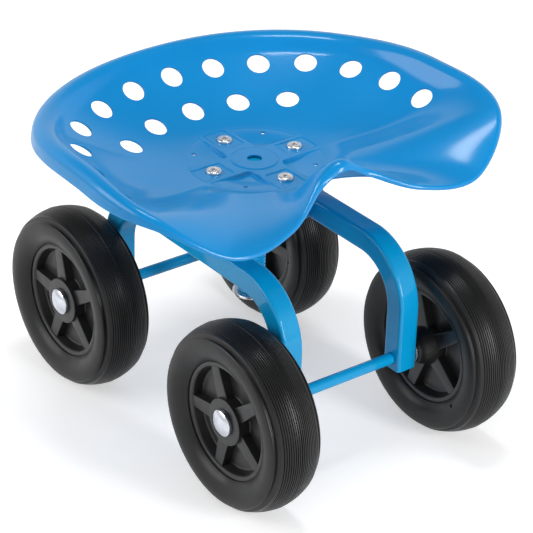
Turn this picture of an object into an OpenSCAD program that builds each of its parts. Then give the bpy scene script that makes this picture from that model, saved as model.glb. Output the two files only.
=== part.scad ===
// Rolling garden seat: a pressed steel seat on a screw post, carried by two
// bent square tubes and four plastic wheels on two through axles.
// Millimetres, +Z up. The origin is on the ground, midway between the wheels.
// The seat faces +X and the axles lie along Y.

/* [Tyre] */
// outside diameter at the parting line
wheel_diameter = 203.2; // [196:0.1:208]
// half the width over the sidewalls
sidewall_half_width = 31.4; // [29:0.2:33]
// half the width of the tread
tread_half_width = 24.7; // [22:0.1:26]
// how much lower the tread lies at its shoulder than in its middle
tread_crown = 6; // [4:0.2:7]
// how far the step beside the tread is cut in
shoulder_step = 5.4; // [3:0.2:7]
// distance from the tread's middle to where the sidewall bulges most
bulge_depth = 18.6; // [16:0.2:22]
// pitch of the fine ribs round the tread
rib_pitch = 2.4; // [2:0.1:2.6]
// depth of the grooves between the ribs
rib_depth = 0.8; // [0.4:0.1:1.2]
// thickness of the sidewall
tyre_wall = 6.5; // [5:0.5:8]
// width of the bead that grips the rim
bead_width = 7; // [5:0.5:9]
// diameter of the vent in the inner sidewall
vent_diameter = 4; // [2:0.5:5]

/* [Wheel centre] */
// radius of the rim under the beads
rim_radius = 62.2; // [58:0.2:66]
// half the width of the rim between its lips
rim_half_width = 20; // [18:0.5:22]
// height of the rim's lip over the bead
rim_lip = 1.8; // [1:0.1:3]
// thickness of the rim's lip
rim_lip_thickness = 1.4; // [1:0.1:2]
// thickness of the rim at the lip
rim_wall = 3.2; // [2:0.1:4.5]
// how far the recess narrows towards its floor
recess_taper = 3; // [1:0.5:5]
// distance of the recess floor from the middle plane
floor_half = 9.5; // [7:0.5:12]
// distance of the spokes' faces from the middle plane
spoke_half = 19.4; // [16:0.2:20]
// width of a spoke at the rim
spoke_tip_width = 12.5; // [9:0.5:16]
// width of a spoke at the boss
spoke_root_width = 18; // [14:0.5:22]
// radius of the hub boss
boss_radius = 25.6; // [22:0.2:28]
// distance of the boss's face from the middle plane
boss_reach = 23.4; // [21:0.2:25]
// radius of the inner sleeve where it leaves the wheel
sleeve_root_radius = 24; // [20:0.5:26]
// radius of the inner sleeve at its end
sleeve_end_radius = 15.4; // [13:0.2:18]

/* [Axles] */
// diameter of the axle rods
axle_diameter = 12.7; // [10:0.1:14]
// distance between the two axles
wheelbase = 300; // [290:1:330]
// distance between the wheels' middle planes
track = 264.2; // [260:0.2:290]
// how far the screw stands behind the middle between the axles
screw_back = 12; // [0:0.5:16]
// radius of the washer between leg and wheel
axle_washer_radius = 12.5; // [10:0.5:14]
// thickness of that washer
axle_washer_thickness = 2; // [1:0.1:2.5]
// diameter of the push-on caps
cap_diameter = 29.6; // [26:0.2:32]
// height of a cap's straight edge
cap_edge = 3.6; // [2.5:0.1:5]
// height of a cap's dome
cap_dome = 4.6; // [3:0.1:7]
// thickness of a cap's sheet
cap_sheet = 0.8; // [0.5:0.1:1.5]

/* [Frame tubes] */
// outside size of the square tube
tube_size = 25.4; // [22:0.1:26]
// wall of the square tube
tube_wall = 1.6; // [1.2:0.1:2.5]
// outside corner radius of the square tube
tube_corner = 4; // [3:0.1:5]
// height of the arches' straight tops, to the middle of the tube
arch_height = 218; // [212:1:222]
// bend radius of an arch, to the middle of the tube
arch_bend = 60; // [50:1:70]
// distance between the middles of the two arches
arch_spacing = 155.4; // [152:0.2:158]

/* [Screw post] */
// outside diameter of the screw
post_diameter = 30; // [26:0.5:32]
// how far the screw's lower end lies below the middle of the arches' tops
post_bottom = 86; // [68:1:90]
// how far the socket's lower end lies below the middle of the arches' tops
socket_bottom = 22; // [16:1:28]
// how far the socket's upper end lies above the middle of the arches' tops
socket_top = 23; // [18:1:26]
// wall of the socket
socket_wall = 6; // [4:0.5:8]
// radius of the stop washer under the screw
stop_washer_radius = 20; // [18:0.5:21]
// thickness of the stop washer
stop_washer_thickness = 3; // [2:0.5:4]
// diameter of the stop bolt
stop_bolt_diameter = 10; // [8:0.5:12]
// length of the stop bolt inside the screw
stop_bolt_grip = 22; // [15:1:30]
// height of the stop bolt's head
stop_bolt_head = 6.4; // [5:0.2:8]

/* [Seat pan] */
// height of the pan's flat middle above the middle of the arches' tops
seat_height = 71.6; // [68:0.2:82]
// thickness of the pressed sheet
sheet = 2; // [1.6:0.1:2.4]
// radius of the flat middle
disc_radius = 76; // [74:1:79]
// radius of the rolled edge at the sides and back
side_roll = 7; // [5:0.5:8]
// radius of the rolled edge at the notch
notch_roll = 9; // [7:0.5:10]
// radius of the rolled edge of the thigh lobes
lobe_roll = 3.5; // [3:0.5:5]
// drop of the turned-down edge at the sides and back
side_drop = 21; // [18:1:28]
// drop of the turned-down edge at the notch
notch_drop = 9.5; // [9:0.5:14]
// drop of the turned-down edge of the thigh lobes
lobe_drop = 5; // [4.5:0.5:8]
// height of the soft ridge between the flat middle and a thigh lobe
lobe_ridge = 9; // [0:0.5:12]

/* [Rim of the pan] */
// from the screw to the rim, at the notch in the front
reach_notch = 141.5; // [136:0.5:146]
// from the screw to the rim, beside the notch
reach_beside = 145; // [141:1:151]
// from the screw to the rim, where a thigh lobe starts
reach_lobe_start = 190; // [184:1:196]
// from the screw to the rim, at the tip of a thigh lobe
reach_lobe = 235; // [230:1:242]
// from the screw to the rim, at a front corner
reach_corner = 257; // [248:1:260]
// from the screw to the rim, at the side
reach_side = 232.5; // [226:0.5:238]
// from the screw to the rim, at a rear corner
reach_rear = 227; // [221:1:233]
// from the screw to the rim, at the back
reach_back = 187; // [181:1:193]
// rim over the flat middle, at the notch
rise_notch = 57.5; // [50:0.5:62]
// rim over the flat middle, beside the notch
rise_beside = 42; // [36:1:48]
// rim over the flat middle, where a thigh lobe starts
rise_lobe_start = 17.5; // [14:0.5:24]
// rim over the flat middle, at the tip of a thigh lobe
rise_lobe = 12; // [9:1:18]
// rim over the flat middle, at a front corner
rise_corner = 54; // [50:1:62]
// rim over the flat middle, at the side
rise_side = 66; // [60:1:70]
// rim over the flat middle, at a rear corner
rise_rear = 57.5; // [52:0.5:62]
// rim over the flat middle, at the back
rise_back = 61; // [54:1:64]

/* [Stamped middle and holes] */
// depth of the four stamped sectors
sector_depth = 2.4; // [1:0.1:3]
// half the width of the cross that stands between the sectors
cross_half_width = 19; // [18:0.5:22]
// depth of the pads under the bolts
pad_depth = 0.9; // [0.4:0.1:1.4]
// half the width of a bolt pad
pad_half_width = 14.5; // [13:0.5:16]
// height of the raised round in the middle
middle_height = 0.8; // [0.4:0.1:1.4]
// diameter of the round holes in the bowl
hole_diameter = 25; // [22:0.5:27]
// diameter of the hole in the middle
middle_hole = 16; // [12:0.5:18]
// diameter of the four small holes
small_hole = 5; // [3:0.5:6]
// distance of the small holes from the middle
small_hole_reach = 65; // [62:0.5:67]

/* [Seat bolts and plate] */
// distance of the bolts from the middle
bolt_reach = 53.4; // [51:0.2:56]
// diameter of the bolts
bolt_diameter = 8; // [6:0.5:9]
// diameter of the pan heads
head_diameter = 17.2; // [14:0.2:19]
// height of the pan heads
head_height = 5; // [4:0.1:6]
// size of the nuts across the flats
nut_flats = 13; // [11:0.5:14]
// height of the nuts
nut_height = 6.4; // [5:0.1:7]
// thickness of the washers under the plate
bolt_washer = 1.8; // [1:0.1:2.5]
// thickness of the cross plate under the pan
plate_thickness = 5; // [4:0.5:5.5]
// half the width of the plate's arms
plate_half_width = 11; // [9:0.5:11.5]
// how far an arm reaches past its bolt
plate_margin = 12; // [11:0.5:13]

/* [Hidden] */
$fn = 96;

// clearances: a wheel on its axle, a rod in its leg, faces that turn on each other
running_fit = 0.05;
loose_fit = 0.3;
face_gap = 0.4;
stop_gap = 0.15;
// how far a cut runs past what it cuts
overrun = 1;

blue = "#1f88d9";
black = "#1b1b1c";
zinc = "#d2d4d8";
chrome = "#e9ecef";

wheel_radius = wheel_diameter / 2;
axle_radius = axle_diameter / 2;
half_base = wheelbase / 2;
half_track = track / 2;
half_tube = tube_size / 2;
arch_y = arch_spacing / 2;
leg_outside = arch_y + half_tube;
arch_inside = arch_y - half_tube;
leg_bottom = wheel_radius - half_tube;

// turn of each wheel about its axle at rest
turn_front_left = 37;
turn_front_right = 41;
turn_rear_left = 0;
turn_rear_right = 30;
spokes = 5;
ribs = 7;

// a soft step from 0 to 1
function ease(t) = let (c = max(0, min(1, t))) c * c * (3 - 2 * c);
// a half outline with its mirror image in the middle plane put before it
function both_halves(half) = concat(
    [for (i = [len(half) - 1 : -1 : 1]) [half[i][0], -half[i][1]]], half);

// a part of a wheel in its place: local +Z points away from the frame
module at_wheel(front, left, turn = 0) {
    translate([front * half_base, left * half_track, wheel_radius])
    rotate([-90 * left, 0, 0])
    rotate([0, 0, turn])
    children();
}

// Tyre: the sidewall is an arc from its widest point to the rim's lip
shoulder_radius = wheel_radius - tread_crown;
step_radius = shoulder_radius - shoulder_step;
bulge_radius = wheel_radius - bulge_depth;
bulge_drop = bulge_radius - rim_radius;
bulge_inset = sidewall_half_width - rim_half_width;
wall_arc = (bulge_drop * bulge_drop + bulge_inset * bulge_inset) / (2 * bulge_inset);
wall_centre = [bulge_radius, sidewall_half_width - wall_arc];
wall_top = asin((step_radius - bulge_radius) / wall_arc);
lip_radius = rim_radius + rim_lip;
wall_foot = -asin((bulge_radius - lip_radius) / wall_arc);
wall_steps = 12;
cavity_steps = 5;
cavity_top_share = 0.6;
cavity_foot_share = 0.82;

function wall_point(radius, a) = wall_centre + radius * [sin(a), cos(a)];
function tread_radius(offset) =
    wheel_radius - tread_crown * offset * offset / (tread_half_width * tread_half_width);
function tread_ribs() = [for (i = [0 : ribs - 1], half = [0, 1])
    let (offset = (i + half / 2) * rib_pitch)
    [tread_radius(offset) - half * rib_depth, offset]];
function tread_band() = [for (i = [0 : 3])
    let (offset = ribs * rib_pitch + (tread_half_width - ribs * rib_pitch) * i / 3)
    [tread_radius(offset), offset]];
function shoulder() = let (foot = tread_half_width + shoulder_step / 5,
                           edge = wall_point(wall_arc, wall_top)[1])
    [[step_radius, foot], [step_radius, (foot + edge) / 2],
     [step_radius + shoulder_step / 5, (foot + edge * 2) / 3]];
function sidewall() = [for (i = [0 : wall_steps])
    wall_point(wall_arc, wall_top + (wall_foot - wall_top) * i / wall_steps)];
function bead() = [[lip_radius, rim_half_width], [rim_radius, rim_half_width]];
function tyre_cavity() = concat(
    [[wheel_radius - tyre_wall - rib_depth, 0],
     [shoulder_radius - tyre_wall, tread_half_width / 2]],
    [for (i = [0 : cavity_steps])
        let (from = wall_top * cavity_top_share, to = wall_foot * cavity_foot_share)
        wall_point(wall_arc - tyre_wall, from + (to - from) * i / cavity_steps)],
    [[rim_radius, rim_half_width - bead_width]]);

module tyre(front, left, turn) {
    outside = concat(tread_ribs(), tread_band(), shoulder(), sidewall(), bead());
    cavity = both_halves(tyre_cavity());
    color(black)
    at_wheel(front, left, turn)
    difference() {
        rotate_extrude()
        polygon(concat(both_halves(outside), [for (i = [len(cavity) - 1 : -1 : 0]) cavity[i]]));
        translate([(bulge_radius + rim_radius) / 2, 0, -sidewall_half_width - overrun])
        cylinder(d = vent_diameter, h = sidewall_half_width);
    }
}

// Wheel centre: rim with lips, floor, boss, tapered inner sleeve and spokes
hub_bore = axle_radius + running_fit;
lip_face = rim_half_width + rim_lip_thickness;
recess_radius = rim_radius - rim_wall;
recess_root = recess_radius - recess_taper;
sleeve_end = half_track - leg_outside - axle_washer_thickness - 2 * face_gap;
boss_chamfer = boss_reach / 20;

module hub(front, left, turn) {
    color(black)
    at_wheel(front, left, turn) {
        rotate_extrude()
        polygon([
            [hub_bore, boss_reach], [boss_radius - boss_chamfer, boss_reach],
            [boss_radius, boss_reach - boss_chamfer], [boss_radius, floor_half],
            [recess_root, floor_half], [recess_radius, lip_face], [lip_radius, lip_face],
            [lip_radius, rim_half_width], [rim_radius, rim_half_width],
            [rim_radius, -rim_half_width], [lip_radius, -rim_half_width],
            [lip_radius, -lip_face], [recess_radius, -lip_face], [recess_root, -floor_half],
            [sleeve_root_radius, -floor_half], [sleeve_root_radius, -floor_half - boss_chamfer],
            [sleeve_end_radius, -sleeve_end], [hub_bore, -sleeve_end]]);
        for (i = [0 : spokes - 1], face = [0, 1])
            rotate([0, 0, i * 360 / spokes])
            mirror([0, 0, face])
            translate([0, 0, floor_half - overrun])
            spoke();
    }
}

module spoke() {
    root = sleeve_end_radius;
    tip = rim_radius - rim_wall / 2;
    linear_extrude(height = spoke_half - floor_half + overrun)
    polygon([[root, -spoke_root_width / 2], [tip, -spoke_tip_width / 2],
             [tip, spoke_tip_width / 2], [root, spoke_root_width / 2]]);
}

// Axles: plain rods that end inside the push-on caps
cap_seat = half_track + boss_reach + face_gap;
cap_radius = cap_diameter / 2;
axle_end = cap_seat + cap_edge;
axle_chamfer = axle_radius / 5;
dome_radius = (cap_radius * cap_radius + cap_dome * cap_dome) / (2 * cap_dome);
dome_angle = asin(cap_radius / dome_radius);
dome_steps = 10;

module axle(front) {
    color(blue)
    translate([front * half_base, 0, wheel_radius])
    rotate([-90, 0, 0])
    rotate_extrude()
    polygon(both_halves([[axle_radius, 0], [axle_radius, axle_end - axle_chamfer],
                         [axle_radius - axle_chamfer, axle_end], [0, axle_end]]));
}

function dome(radius, base) = [for (i = [0 : dome_steps]) let (a = dome_angle * (1 - i / dome_steps))
    [radius * sin(a), base + radius * (cos(a) - cos(dome_angle))]];

module axle_caps() {
    inner_dome = dome(dome_radius - cap_sheet, cap_edge - cap_sheet * cos(dome_angle));
    color(chrome)
    for (front = [-1, 1], left = [-1, 1])
        at_wheel(front, left)
        translate([0, 0, cap_seat - half_track])
        rotate_extrude()
        polygon(concat(
            [[axle_radius, 0], [cap_radius, 0]], dome(dome_radius, cap_edge),
            [for (i = [dome_steps : -1 : 0]) inner_dome[i]],
            [[inner_dome[0][0], cap_sheet], [axle_radius, cap_sheet]]));
}

module axle_washers() {
    color(zinc)
    for (front = [-1, 1], left = [-1, 1])
        translate([front * half_base, left * (leg_outside + face_gap), wheel_radius])
        rotate([-90 * left, 0, 0])
        ring(axle_washer_radius, axle_radius + running_fit, axle_washer_thickness);
}

module ring(outer, inner, height) {
    difference() {
        cylinder(r = outer, h = height);
        translate([0, 0, -overrun])
        cylinder(r = inner, h = height + 2 * overrun);
    }
}

// Frame: square tube bent to an arch, with a rod through each leg
bend_x = half_base - arch_bend;
bend_z = arch_height - arch_bend;
socket_low = arch_height - socket_bottom;
post_low = arch_height - post_bottom;
seat_z = arch_height + seat_height;

module rounded_square(size, corner) {
    side = size - 2 * corner;
    square([size, side], center = true);
    square([side, size], center = true);
    for (x = [-1, 1], y = [-1, 1])
        translate([x * side / 2, y * side / 2])
        circle(r = corner);
}

module arch_path(size, corner, bottom) {
    translate([-bend_x, 0, arch_height])
    rotate([0, 90, 0])
    linear_extrude(height = 2 * bend_x)
    rounded_square(size, corner);
    for (front = [0, 1])
        mirror([front, 0, 0]) {
            translate([-half_base, 0, bottom])
            linear_extrude(height = bend_z - bottom)
            rounded_square(size, corner);
            translate([-bend_x, 0, bend_z])
            rotate([90, 0, 0])
            rotate([0, 0, 90])
            rotate_extrude(angle = 90)
            translate([arch_bend, 0])
            rounded_square(size, corner);
        }
}

module arch(left) {
    color(blue)
    translate([0, left * arch_y, 0])
    difference() {
        arch_path(tube_size, tube_corner, leg_bottom);
        arch_path(tube_size - 2 * tube_wall, tube_corner - tube_wall, leg_bottom - overrun);
        for (front = [-1, 1])
            translate([front * half_base, 0, wheel_radius])
            rotate([90, 0, 0])
            cylinder(r = axle_radius + loose_fit, h = tube_size + 2 * overrun, center = true);
    }
}

// the tubes that carry the socket are coped round it at one end
post_radius = post_diameter / 2;
socket_bore = post_radius + running_fit;
socket_radius = socket_bore + socket_wall;

module cross_tube(left) {
    color(blue)
    translate([-screw_back, 0, 0])
    difference() {
        translate([0, 0, arch_height])
        rotate([-90 * left, 0, 0])
        difference() {
            linear_extrude(height = arch_inside)
            rounded_square(tube_size, tube_corner);
            translate([0, 0, -overrun])
            linear_extrude(height = arch_inside + 2 * overrun)
            rounded_square(tube_size - 2 * tube_wall, tube_corner - tube_wall);
        }
        translate([0, 0, arch_height - tube_size])
        cylinder(r = socket_radius, h = 2 * tube_size);
    }
}

module screw_socket() {
    color(blue)
    translate([-screw_back, 0, socket_low])
    ring(socket_radius, socket_bore, socket_top + socket_bottom);
}

// Screw post: its lower end takes the stop washer and the stop bolt
plate_top = seat_z - pad_depth - sheet;
plate_bottom = plate_top - plate_thickness;
post_chamfer = post_radius / 10;
stop_bolt_radius = stop_bolt_diameter / 2;
stop_hole = stop_bolt_radius + running_fit;
stop_washer_z = post_low - stop_gap - stop_washer_thickness;
hex_share = 1 / cos(30);

module screw_post() {
    color(blue)
    translate([-screw_back, 0, 0])
    rotate_extrude()
    polygon([[0, plate_bottom], [post_radius, plate_bottom],
             [post_radius, post_low + post_chamfer],
             [post_radius - post_chamfer, post_low], [stop_hole, post_low],
             [stop_hole, post_low + stop_bolt_grip + post_chamfer],
             [0, post_low + stop_bolt_grip + post_chamfer]]);
}

module stop_washer() {
    color(zinc)
    translate([-screw_back, 0, stop_washer_z])
    ring(stop_washer_radius, stop_hole, stop_washer_thickness);
}

module stop_bolt() {
    head_top = stop_washer_z - stop_gap;
    color(zinc) {
        translate([-screw_back, 0, head_top - stop_bolt_head])
        cylinder(r = stop_bolt_radius * 1.6 * hex_share, h = stop_bolt_head, $fn = 6);
        translate([-screw_back, 0, head_top])
        cylinder(r = stop_bolt_radius, h = post_low + stop_bolt_grip - head_top);
    }
}

// Seat plate: a cross whose arms lie under the bolt pads
bolt_radius = bolt_diameter / 2;
bolt_hole = bolt_radius + loose_fit;
plate_corner = plate_half_width / 2;

module plate_arm() {
    reach = bolt_reach + plate_margin;
    square([2 * (reach - plate_corner), 2 * plate_half_width], center = true);
    square([2 * reach, 2 * (plate_half_width - plate_corner)], center = true);
    for (x = [-1, 1], y = [-1, 1])
        translate([x * (reach - plate_corner), y * (plate_half_width - plate_corner)])
        circle(r = plate_corner);
}

module seat_plate() {
    color(blue)
    translate([-screw_back, 0, plate_bottom])
    linear_extrude(height = plate_thickness)
    difference() {
        union() {
            plate_arm();
            rotate([0, 0, 90])
            plate_arm();
            circle(r = post_radius + plate_corner);
        }
        for (q = [0 : 3])
            rotate([0, 0, 90 * q])
            translate([bolt_reach, 0])
            circle(r = bolt_hole);
    }
}

// Seat pan: rays from the middle through the stamped disc, the bowl, the
// rolled edge and the turned-down skirt
station_angles = [0, 12, 26, 42, 60, 85, 120, 180];
reaches = [reach_notch, reach_beside, reach_lobe_start, reach_lobe,
           reach_corner, reach_side, reach_rear, reach_back];
rises = [rise_notch, rise_beside, rise_lobe_start, rise_lobe,
         rise_corner, rise_side, rise_rear, rise_back];
last_station = len(station_angles) - 1;

// angle from the front, the same on the left and the right
function folded(a) = abs(a > 180 ? a - 360 : a);
function station(a, i = 0) =
    i >= last_station - 1 || station_angles[i + 1] > a ? i : station(a, i + 1);
function trend(v, i) = i == 0 || i == last_station ? 0 :
    (v[i + 1] - v[i - 1]) / (station_angles[i + 1] - station_angles[i - 1]);
function between(v, a, i) =
    let (w = station_angles[i + 1] - station_angles[i], t = (a - station_angles[i]) / w, s = 1 - t)
    v[i] * s * s * (1 + 2 * t) + v[i + 1] * t * t * (3 - 2 * t)
    + w * t * s * (trend(v, i) * s - trend(v, i + 1) * t);
function along_rim(v, a) = let (f = folded(a)) between(v, f, station(f));

// a value at the notch, the lobes and the sides, with soft steps between them
function stage(a, notch, lobe, side) = let (f = folded(a))
    notch + (lobe - notch) * ease((f - 8) / 20) + (side - lobe) * ease((f - 44) / 36);

// the bowl's slope at the rim, and at the edge of the flat middle
notch_slope = 12;
lobe_slope = -12;
side_slope = 50;
back_slope = 33;
foot_slope = 6;
function rim_slope(a) = let (f = folded(a))
    f < 85 ? stage(a, notch_slope, lobe_slope, side_slope)
           : side_slope + (back_slope - side_slope) * ease((f - 85) / 30);
function roll(a) = stage(a, notch_roll, lobe_roll, side_roll);
function drop(a) = stage(a, notch_drop, lobe_drop, side_drop);
// the ridge stands at the inner end of the lobes and fades along them
ridge_share = 0.16;
function ridge(a, s) = stage(a, 0, lobe_ridge, 0) * ease(s / ridge_share) * (1 - s) * (1 - s);
// the rolled edge ends a little short of upright
roll_end = -82;

function roll_point(a, s) =
    let (from = rim_slope(a), g = from + (roll_end - from) * s, r = roll(a))
    [along_rim(reaches, a) - r * sin(g), along_rim(rises, a) - r * (1 - cos(g))];
function skirt_point(a, s) =
    let (start = roll_point(a, 1), fall = (start[1] - along_rim(rises, a) + drop(a)) * s)
    [start[0] + fall / tan(-roll_end), start[1] - fall];
function bowl_point(a, s) =
    let (top = roll_point(a, 0), span = top[0] - disc_radius)
    [disc_radius + span * s,
     top[1] * s * s * (3 - 2 * s) + tan(rim_slope(a)) * span * s * s * (s - 1)
     + tan(foot_slope) * span * s * (s - 1) * (s - 1) + ridge(a, s)];

// the stamped middle: sectors and bolt pads sink, the round in the middle stands
edge_share = 0.06;
stamp_edge = disc_radius * edge_share;
sector_top_share = 0.93;
pad_foot_share = 0.48;
pad_top_share = 0.94;
middle_share = 0.31;
function stamp(r, a) =
    let (f = folded(a) % 90, near = min(f, 90 - f), along = r * cos(near), across = r * sin(near))
    middle_height * ease((disc_radius * (middle_share + edge_share) - r) / stamp_edge)
    - sector_depth * ease((across - cross_half_width) / stamp_edge)
      * ease((disc_radius - r) / stamp_edge)
    - pad_depth * ease((pad_half_width - across) / (stamp_edge / 2))
      * ease((along - disc_radius * pad_foot_share) / stamp_edge)
      * ease((disc_radius - r) / stamp_edge);

disc_shares = [0.13, 0.31, 0.37, 0.45, 0.51, 0.6, 0.71, 0.82, 0.94, 1];
bowl_shares = [0.06, 0.12, 0.2, 0.31, 0.43, 0.56, 0.69, 0.81, 0.92, 1];
roll_shares = [0.25, 0.5, 0.75, 1];
function ray(a) = concat(
    [for (s = disc_shares) [disc_radius * s, stamp(disc_radius * s, a)]],
    [for (s = bowl_shares) bowl_point(a, s)],
    [for (s = roll_shares) roll_point(a, s)],
    [skirt_point(a, 1)]);
// the same ray on the underside, one sheet thickness away
function under(p) = [for (i = [0 : len(p) - 1])
    let (d = p[min(i + 1, len(p) - 1)] - p[max(i - 1, 0)], n = norm(d))
    [p[i][0] + sheet * d[1] / n, p[i][1] - sheet * d[0] / n]];

pan_steps = 120;
ring_count = len(ray(0));
side_count = pan_steps * ring_count;
function turned(p, a) = [p[0] * cos(a), p[0] * sin(a), seat_z + p[1]];
function pan_points(below) = [for (k = [0 : pan_steps - 1])
    let (a = k * 360 / pan_steps, top = ray(a), p = below ? under(top) : top)
    for (q = p) turned(q, a)];
function at(k, i) = (k % pan_steps) * ring_count + i;
pan_faces = concat(
    [for (k = [0 : pan_steps - 1]) [2 * side_count, at(k, 0), at(k + 1, 0)]],
    [for (k = [0 : pan_steps - 1])
        [2 * side_count + 1, side_count + at(k + 1, 0), side_count + at(k, 0)]],
    [for (k = [0 : pan_steps - 1], i = [0 : ring_count - 2], half = [0, 1]) half == 0
        ? [at(k, i), at(k, i + 1), at(k + 1, i + 1)]
        : [at(k, i), at(k + 1, i + 1), at(k + 1, i)]],
    [for (k = [0 : pan_steps - 1], i = [0 : ring_count - 2], half = [0, 1]) half == 0
        ? [side_count + at(k, i), side_count + at(k + 1, i + 1), side_count + at(k, i + 1)]
        : [side_count + at(k, i), side_count + at(k + 1, i), side_count + at(k + 1, i + 1)]],
    [for (k = [0 : pan_steps - 1], half = [0, 1]) let (e = ring_count - 1) half == 0
        ? [at(k, e), side_count + at(k, e), side_count + at(k + 1, e)]
        : [at(k, e), side_count + at(k + 1, e), at(k + 1, e)]]);

// rows of round holes: angle from the front, and share of the way up the bowl
outer_hole_angles = [79.2, 93.8, 108.9, 125.1, 141.8, 160.2];
outer_hole_shares = [0.8, 0.794, 0.751, 0.737, 0.708, 0.7];
back_outer_share = 0.7;
inner_hole_angles = [126.8, 151.9];
inner_hole_shares = [0.376, 0.334];
back_inner_share = 0.325;
// turn of the small holes from the bolts
small_hole_turn = 45;

module bowl_hole(a, s) {
    middle = bowl_point(a, s);
    ahead = bowl_point(a, s + 1 / pan_steps) - middle;
    rotate([0, 0, a])
    translate([middle[0], 0, seat_z + middle[1]])
    rotate([0, -atan2(ahead[1], ahead[0]), 0])
    cylinder(d = hole_diameter, h = 8 * sheet, center = true);
}

module disc_hole(reach, diameter, turn) {
    rotate([0, 0, turn])
    translate([reach, 0, seat_z])
    cylinder(d = diameter, h = 8 * sheet, center = true);
}

module seat_pan() {
    color(blue)
    translate([-screw_back, 0, 0])
    difference() {
        polyhedron(
            points = concat(pan_points(false), pan_points(true),
                            [[0, 0, seat_z + middle_height],
                             [0, 0, seat_z + middle_height - sheet]]),
            faces = pan_faces, convexity = 10);
        for (i = [0 : len(outer_hole_angles) - 1], side = [-1, 1])
            bowl_hole(side * outer_hole_angles[i], outer_hole_shares[i]);
        for (i = [0 : len(inner_hole_angles) - 1], side = [-1, 1])
            bowl_hole(side * inner_hole_angles[i], inner_hole_shares[i]);
        bowl_hole(180, back_outer_share);
        bowl_hole(180, back_inner_share);
        disc_hole(0, middle_hole, 0);
        for (q = [0 : 3]) {
            disc_hole(small_hole_reach, small_hole, 90 * q + small_hole_turn);
            disc_hole(bolt_reach, 2 * bolt_hole, 90 * q);
        }
    }
}

// Seat bolts: pan heads on the pads, nuts on washers under the plate
pad_top = seat_z - pad_depth;
nut_bottom = plate_bottom - bolt_washer - nut_height;
head_radius = head_diameter / 2;
head_edge_share = 0.35;
head_steps = 6;

module at_bolts() {
    translate([-screw_back, 0, 0])
    for (q = [0 : 3])
        rotate([0, 0, 90 * q])
        translate([bolt_reach, 0, 0])
        children();
}

module seat_bolts() {
    edge = head_height * head_edge_share;
    color(zinc)
    at_bolts()
    rotate_extrude()
    polygon(concat(
        [[0, nut_bottom - bolt_washer], [bolt_radius, nut_bottom - bolt_washer],
         [bolt_radius, pad_top], [head_radius, pad_top]],
        [for (i = [0 : head_steps]) let (a = 90 * i / head_steps)
            [head_radius - (head_height - edge) * (1 - cos(a)), pad_top + edge
             + (head_height - edge) * sin(a)]],
        [[0, pad_top + head_height]]));
}

module bolt_washers() {
    color(zinc)
    at_bolts()
    translate([0, 0, plate_bottom - bolt_washer])
    ring(nut_flats / 2 + bolt_washer, bolt_radius + running_fit, bolt_washer);
}

module bolt_nuts() {
    color(zinc)
    at_bolts()
    translate([0, 0, nut_bottom])
    difference() {
        cylinder(r = nut_flats / 2 * hex_share, h = nut_height, $fn = 6);
        translate([0, 0, -overrun])
        cylinder(r = bolt_radius + running_fit, h = nut_height + 2 * overrun);
    }
}

arch(1);  // arch_left
arch(-1);  // arch_right
cross_tube(1);  // cross_tube_left
cross_tube(-1);  // cross_tube_right
screw_socket();
axle(1);  // axle_front
axle(-1);  // axle_rear
axle_washers();
axle_caps();
tyre(1, 1, turn_front_left);  // tyre_front_left
tyre(1, -1, turn_front_right);  // tyre_front_right
tyre(-1, 1, turn_rear_left);  // tyre_rear_left
tyre(-1, -1, turn_rear_right);  // tyre_rear_right
hub(1, 1, turn_front_left);  // hub_front_left
hub(1, -1, turn_front_right);  // hub_front_right
hub(-1, 1, turn_rear_left);  // hub_rear_left
hub(-1, -1, turn_rear_right);  // hub_rear_right
stop_washer();
stop_bolt();
screw_post();
seat_plate();
seat_pan();
seat_bolts();
bolt_washers();
bolt_nuts();
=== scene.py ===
import math

import bmesh
import bpy
import numpy as np
from mathutils import Matrix, Vector


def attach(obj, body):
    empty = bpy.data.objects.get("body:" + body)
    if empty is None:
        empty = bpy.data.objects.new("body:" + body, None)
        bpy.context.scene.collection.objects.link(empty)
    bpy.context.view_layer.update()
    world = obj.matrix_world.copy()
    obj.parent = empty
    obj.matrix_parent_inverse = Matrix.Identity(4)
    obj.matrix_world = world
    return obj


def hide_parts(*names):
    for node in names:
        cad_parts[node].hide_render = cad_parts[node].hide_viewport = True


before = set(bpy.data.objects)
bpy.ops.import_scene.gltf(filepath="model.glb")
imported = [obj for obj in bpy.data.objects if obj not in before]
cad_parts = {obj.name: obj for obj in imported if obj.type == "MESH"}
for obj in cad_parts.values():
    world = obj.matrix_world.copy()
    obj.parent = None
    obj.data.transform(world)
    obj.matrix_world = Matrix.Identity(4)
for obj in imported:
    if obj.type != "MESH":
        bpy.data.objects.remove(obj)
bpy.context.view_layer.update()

# Lengths below are in millimetres, as on a workshop drawing. mm turns them
# into the metres that the frame uses.
mm = 0.001


# ---------------------------------------------------------------- tyres
# Four moulded rubber tyres, hollow, with a vent in the inner sidewall.
# Fine ribs run round the tread, a step and a raised ring lie beside it,
# and the mould halves leave a thin line round the middle.
tyre_radius = 101.6
tread_half = 24.7
tread_crown = 6.0
rib_pitch = 2.4
rib_count = 9
rib_drop = 0.25
rib_round = 0.08
groove_depth = 1.0
parting_half = 0.35
parting_height = 0.35
step_radius = 90.2
ring_radius = 91.4
wall_centre = (83.0, 6.725)
wall_arc = 24.675
wall_top = math.radians(16.97)
wall_foot = math.radians(-50.1)
tyre_skin = 6.5
crown_skin = 7.3
inner_shoulder = 89.1
inner_foot = wall_foot * 0.82
inner_top = wall_top * 0.6
bead_radius = 62.2
bead_top = 64.05
bead_half = 20.0
vent_reach = 72.6
vent_radius = 2.0
vent_from = -40
vent_to = -12
tyre_steps = 288
tyre_crease = 28
wheel_middle = 101.6
half_base = 150.0
half_track = 132.1
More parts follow.
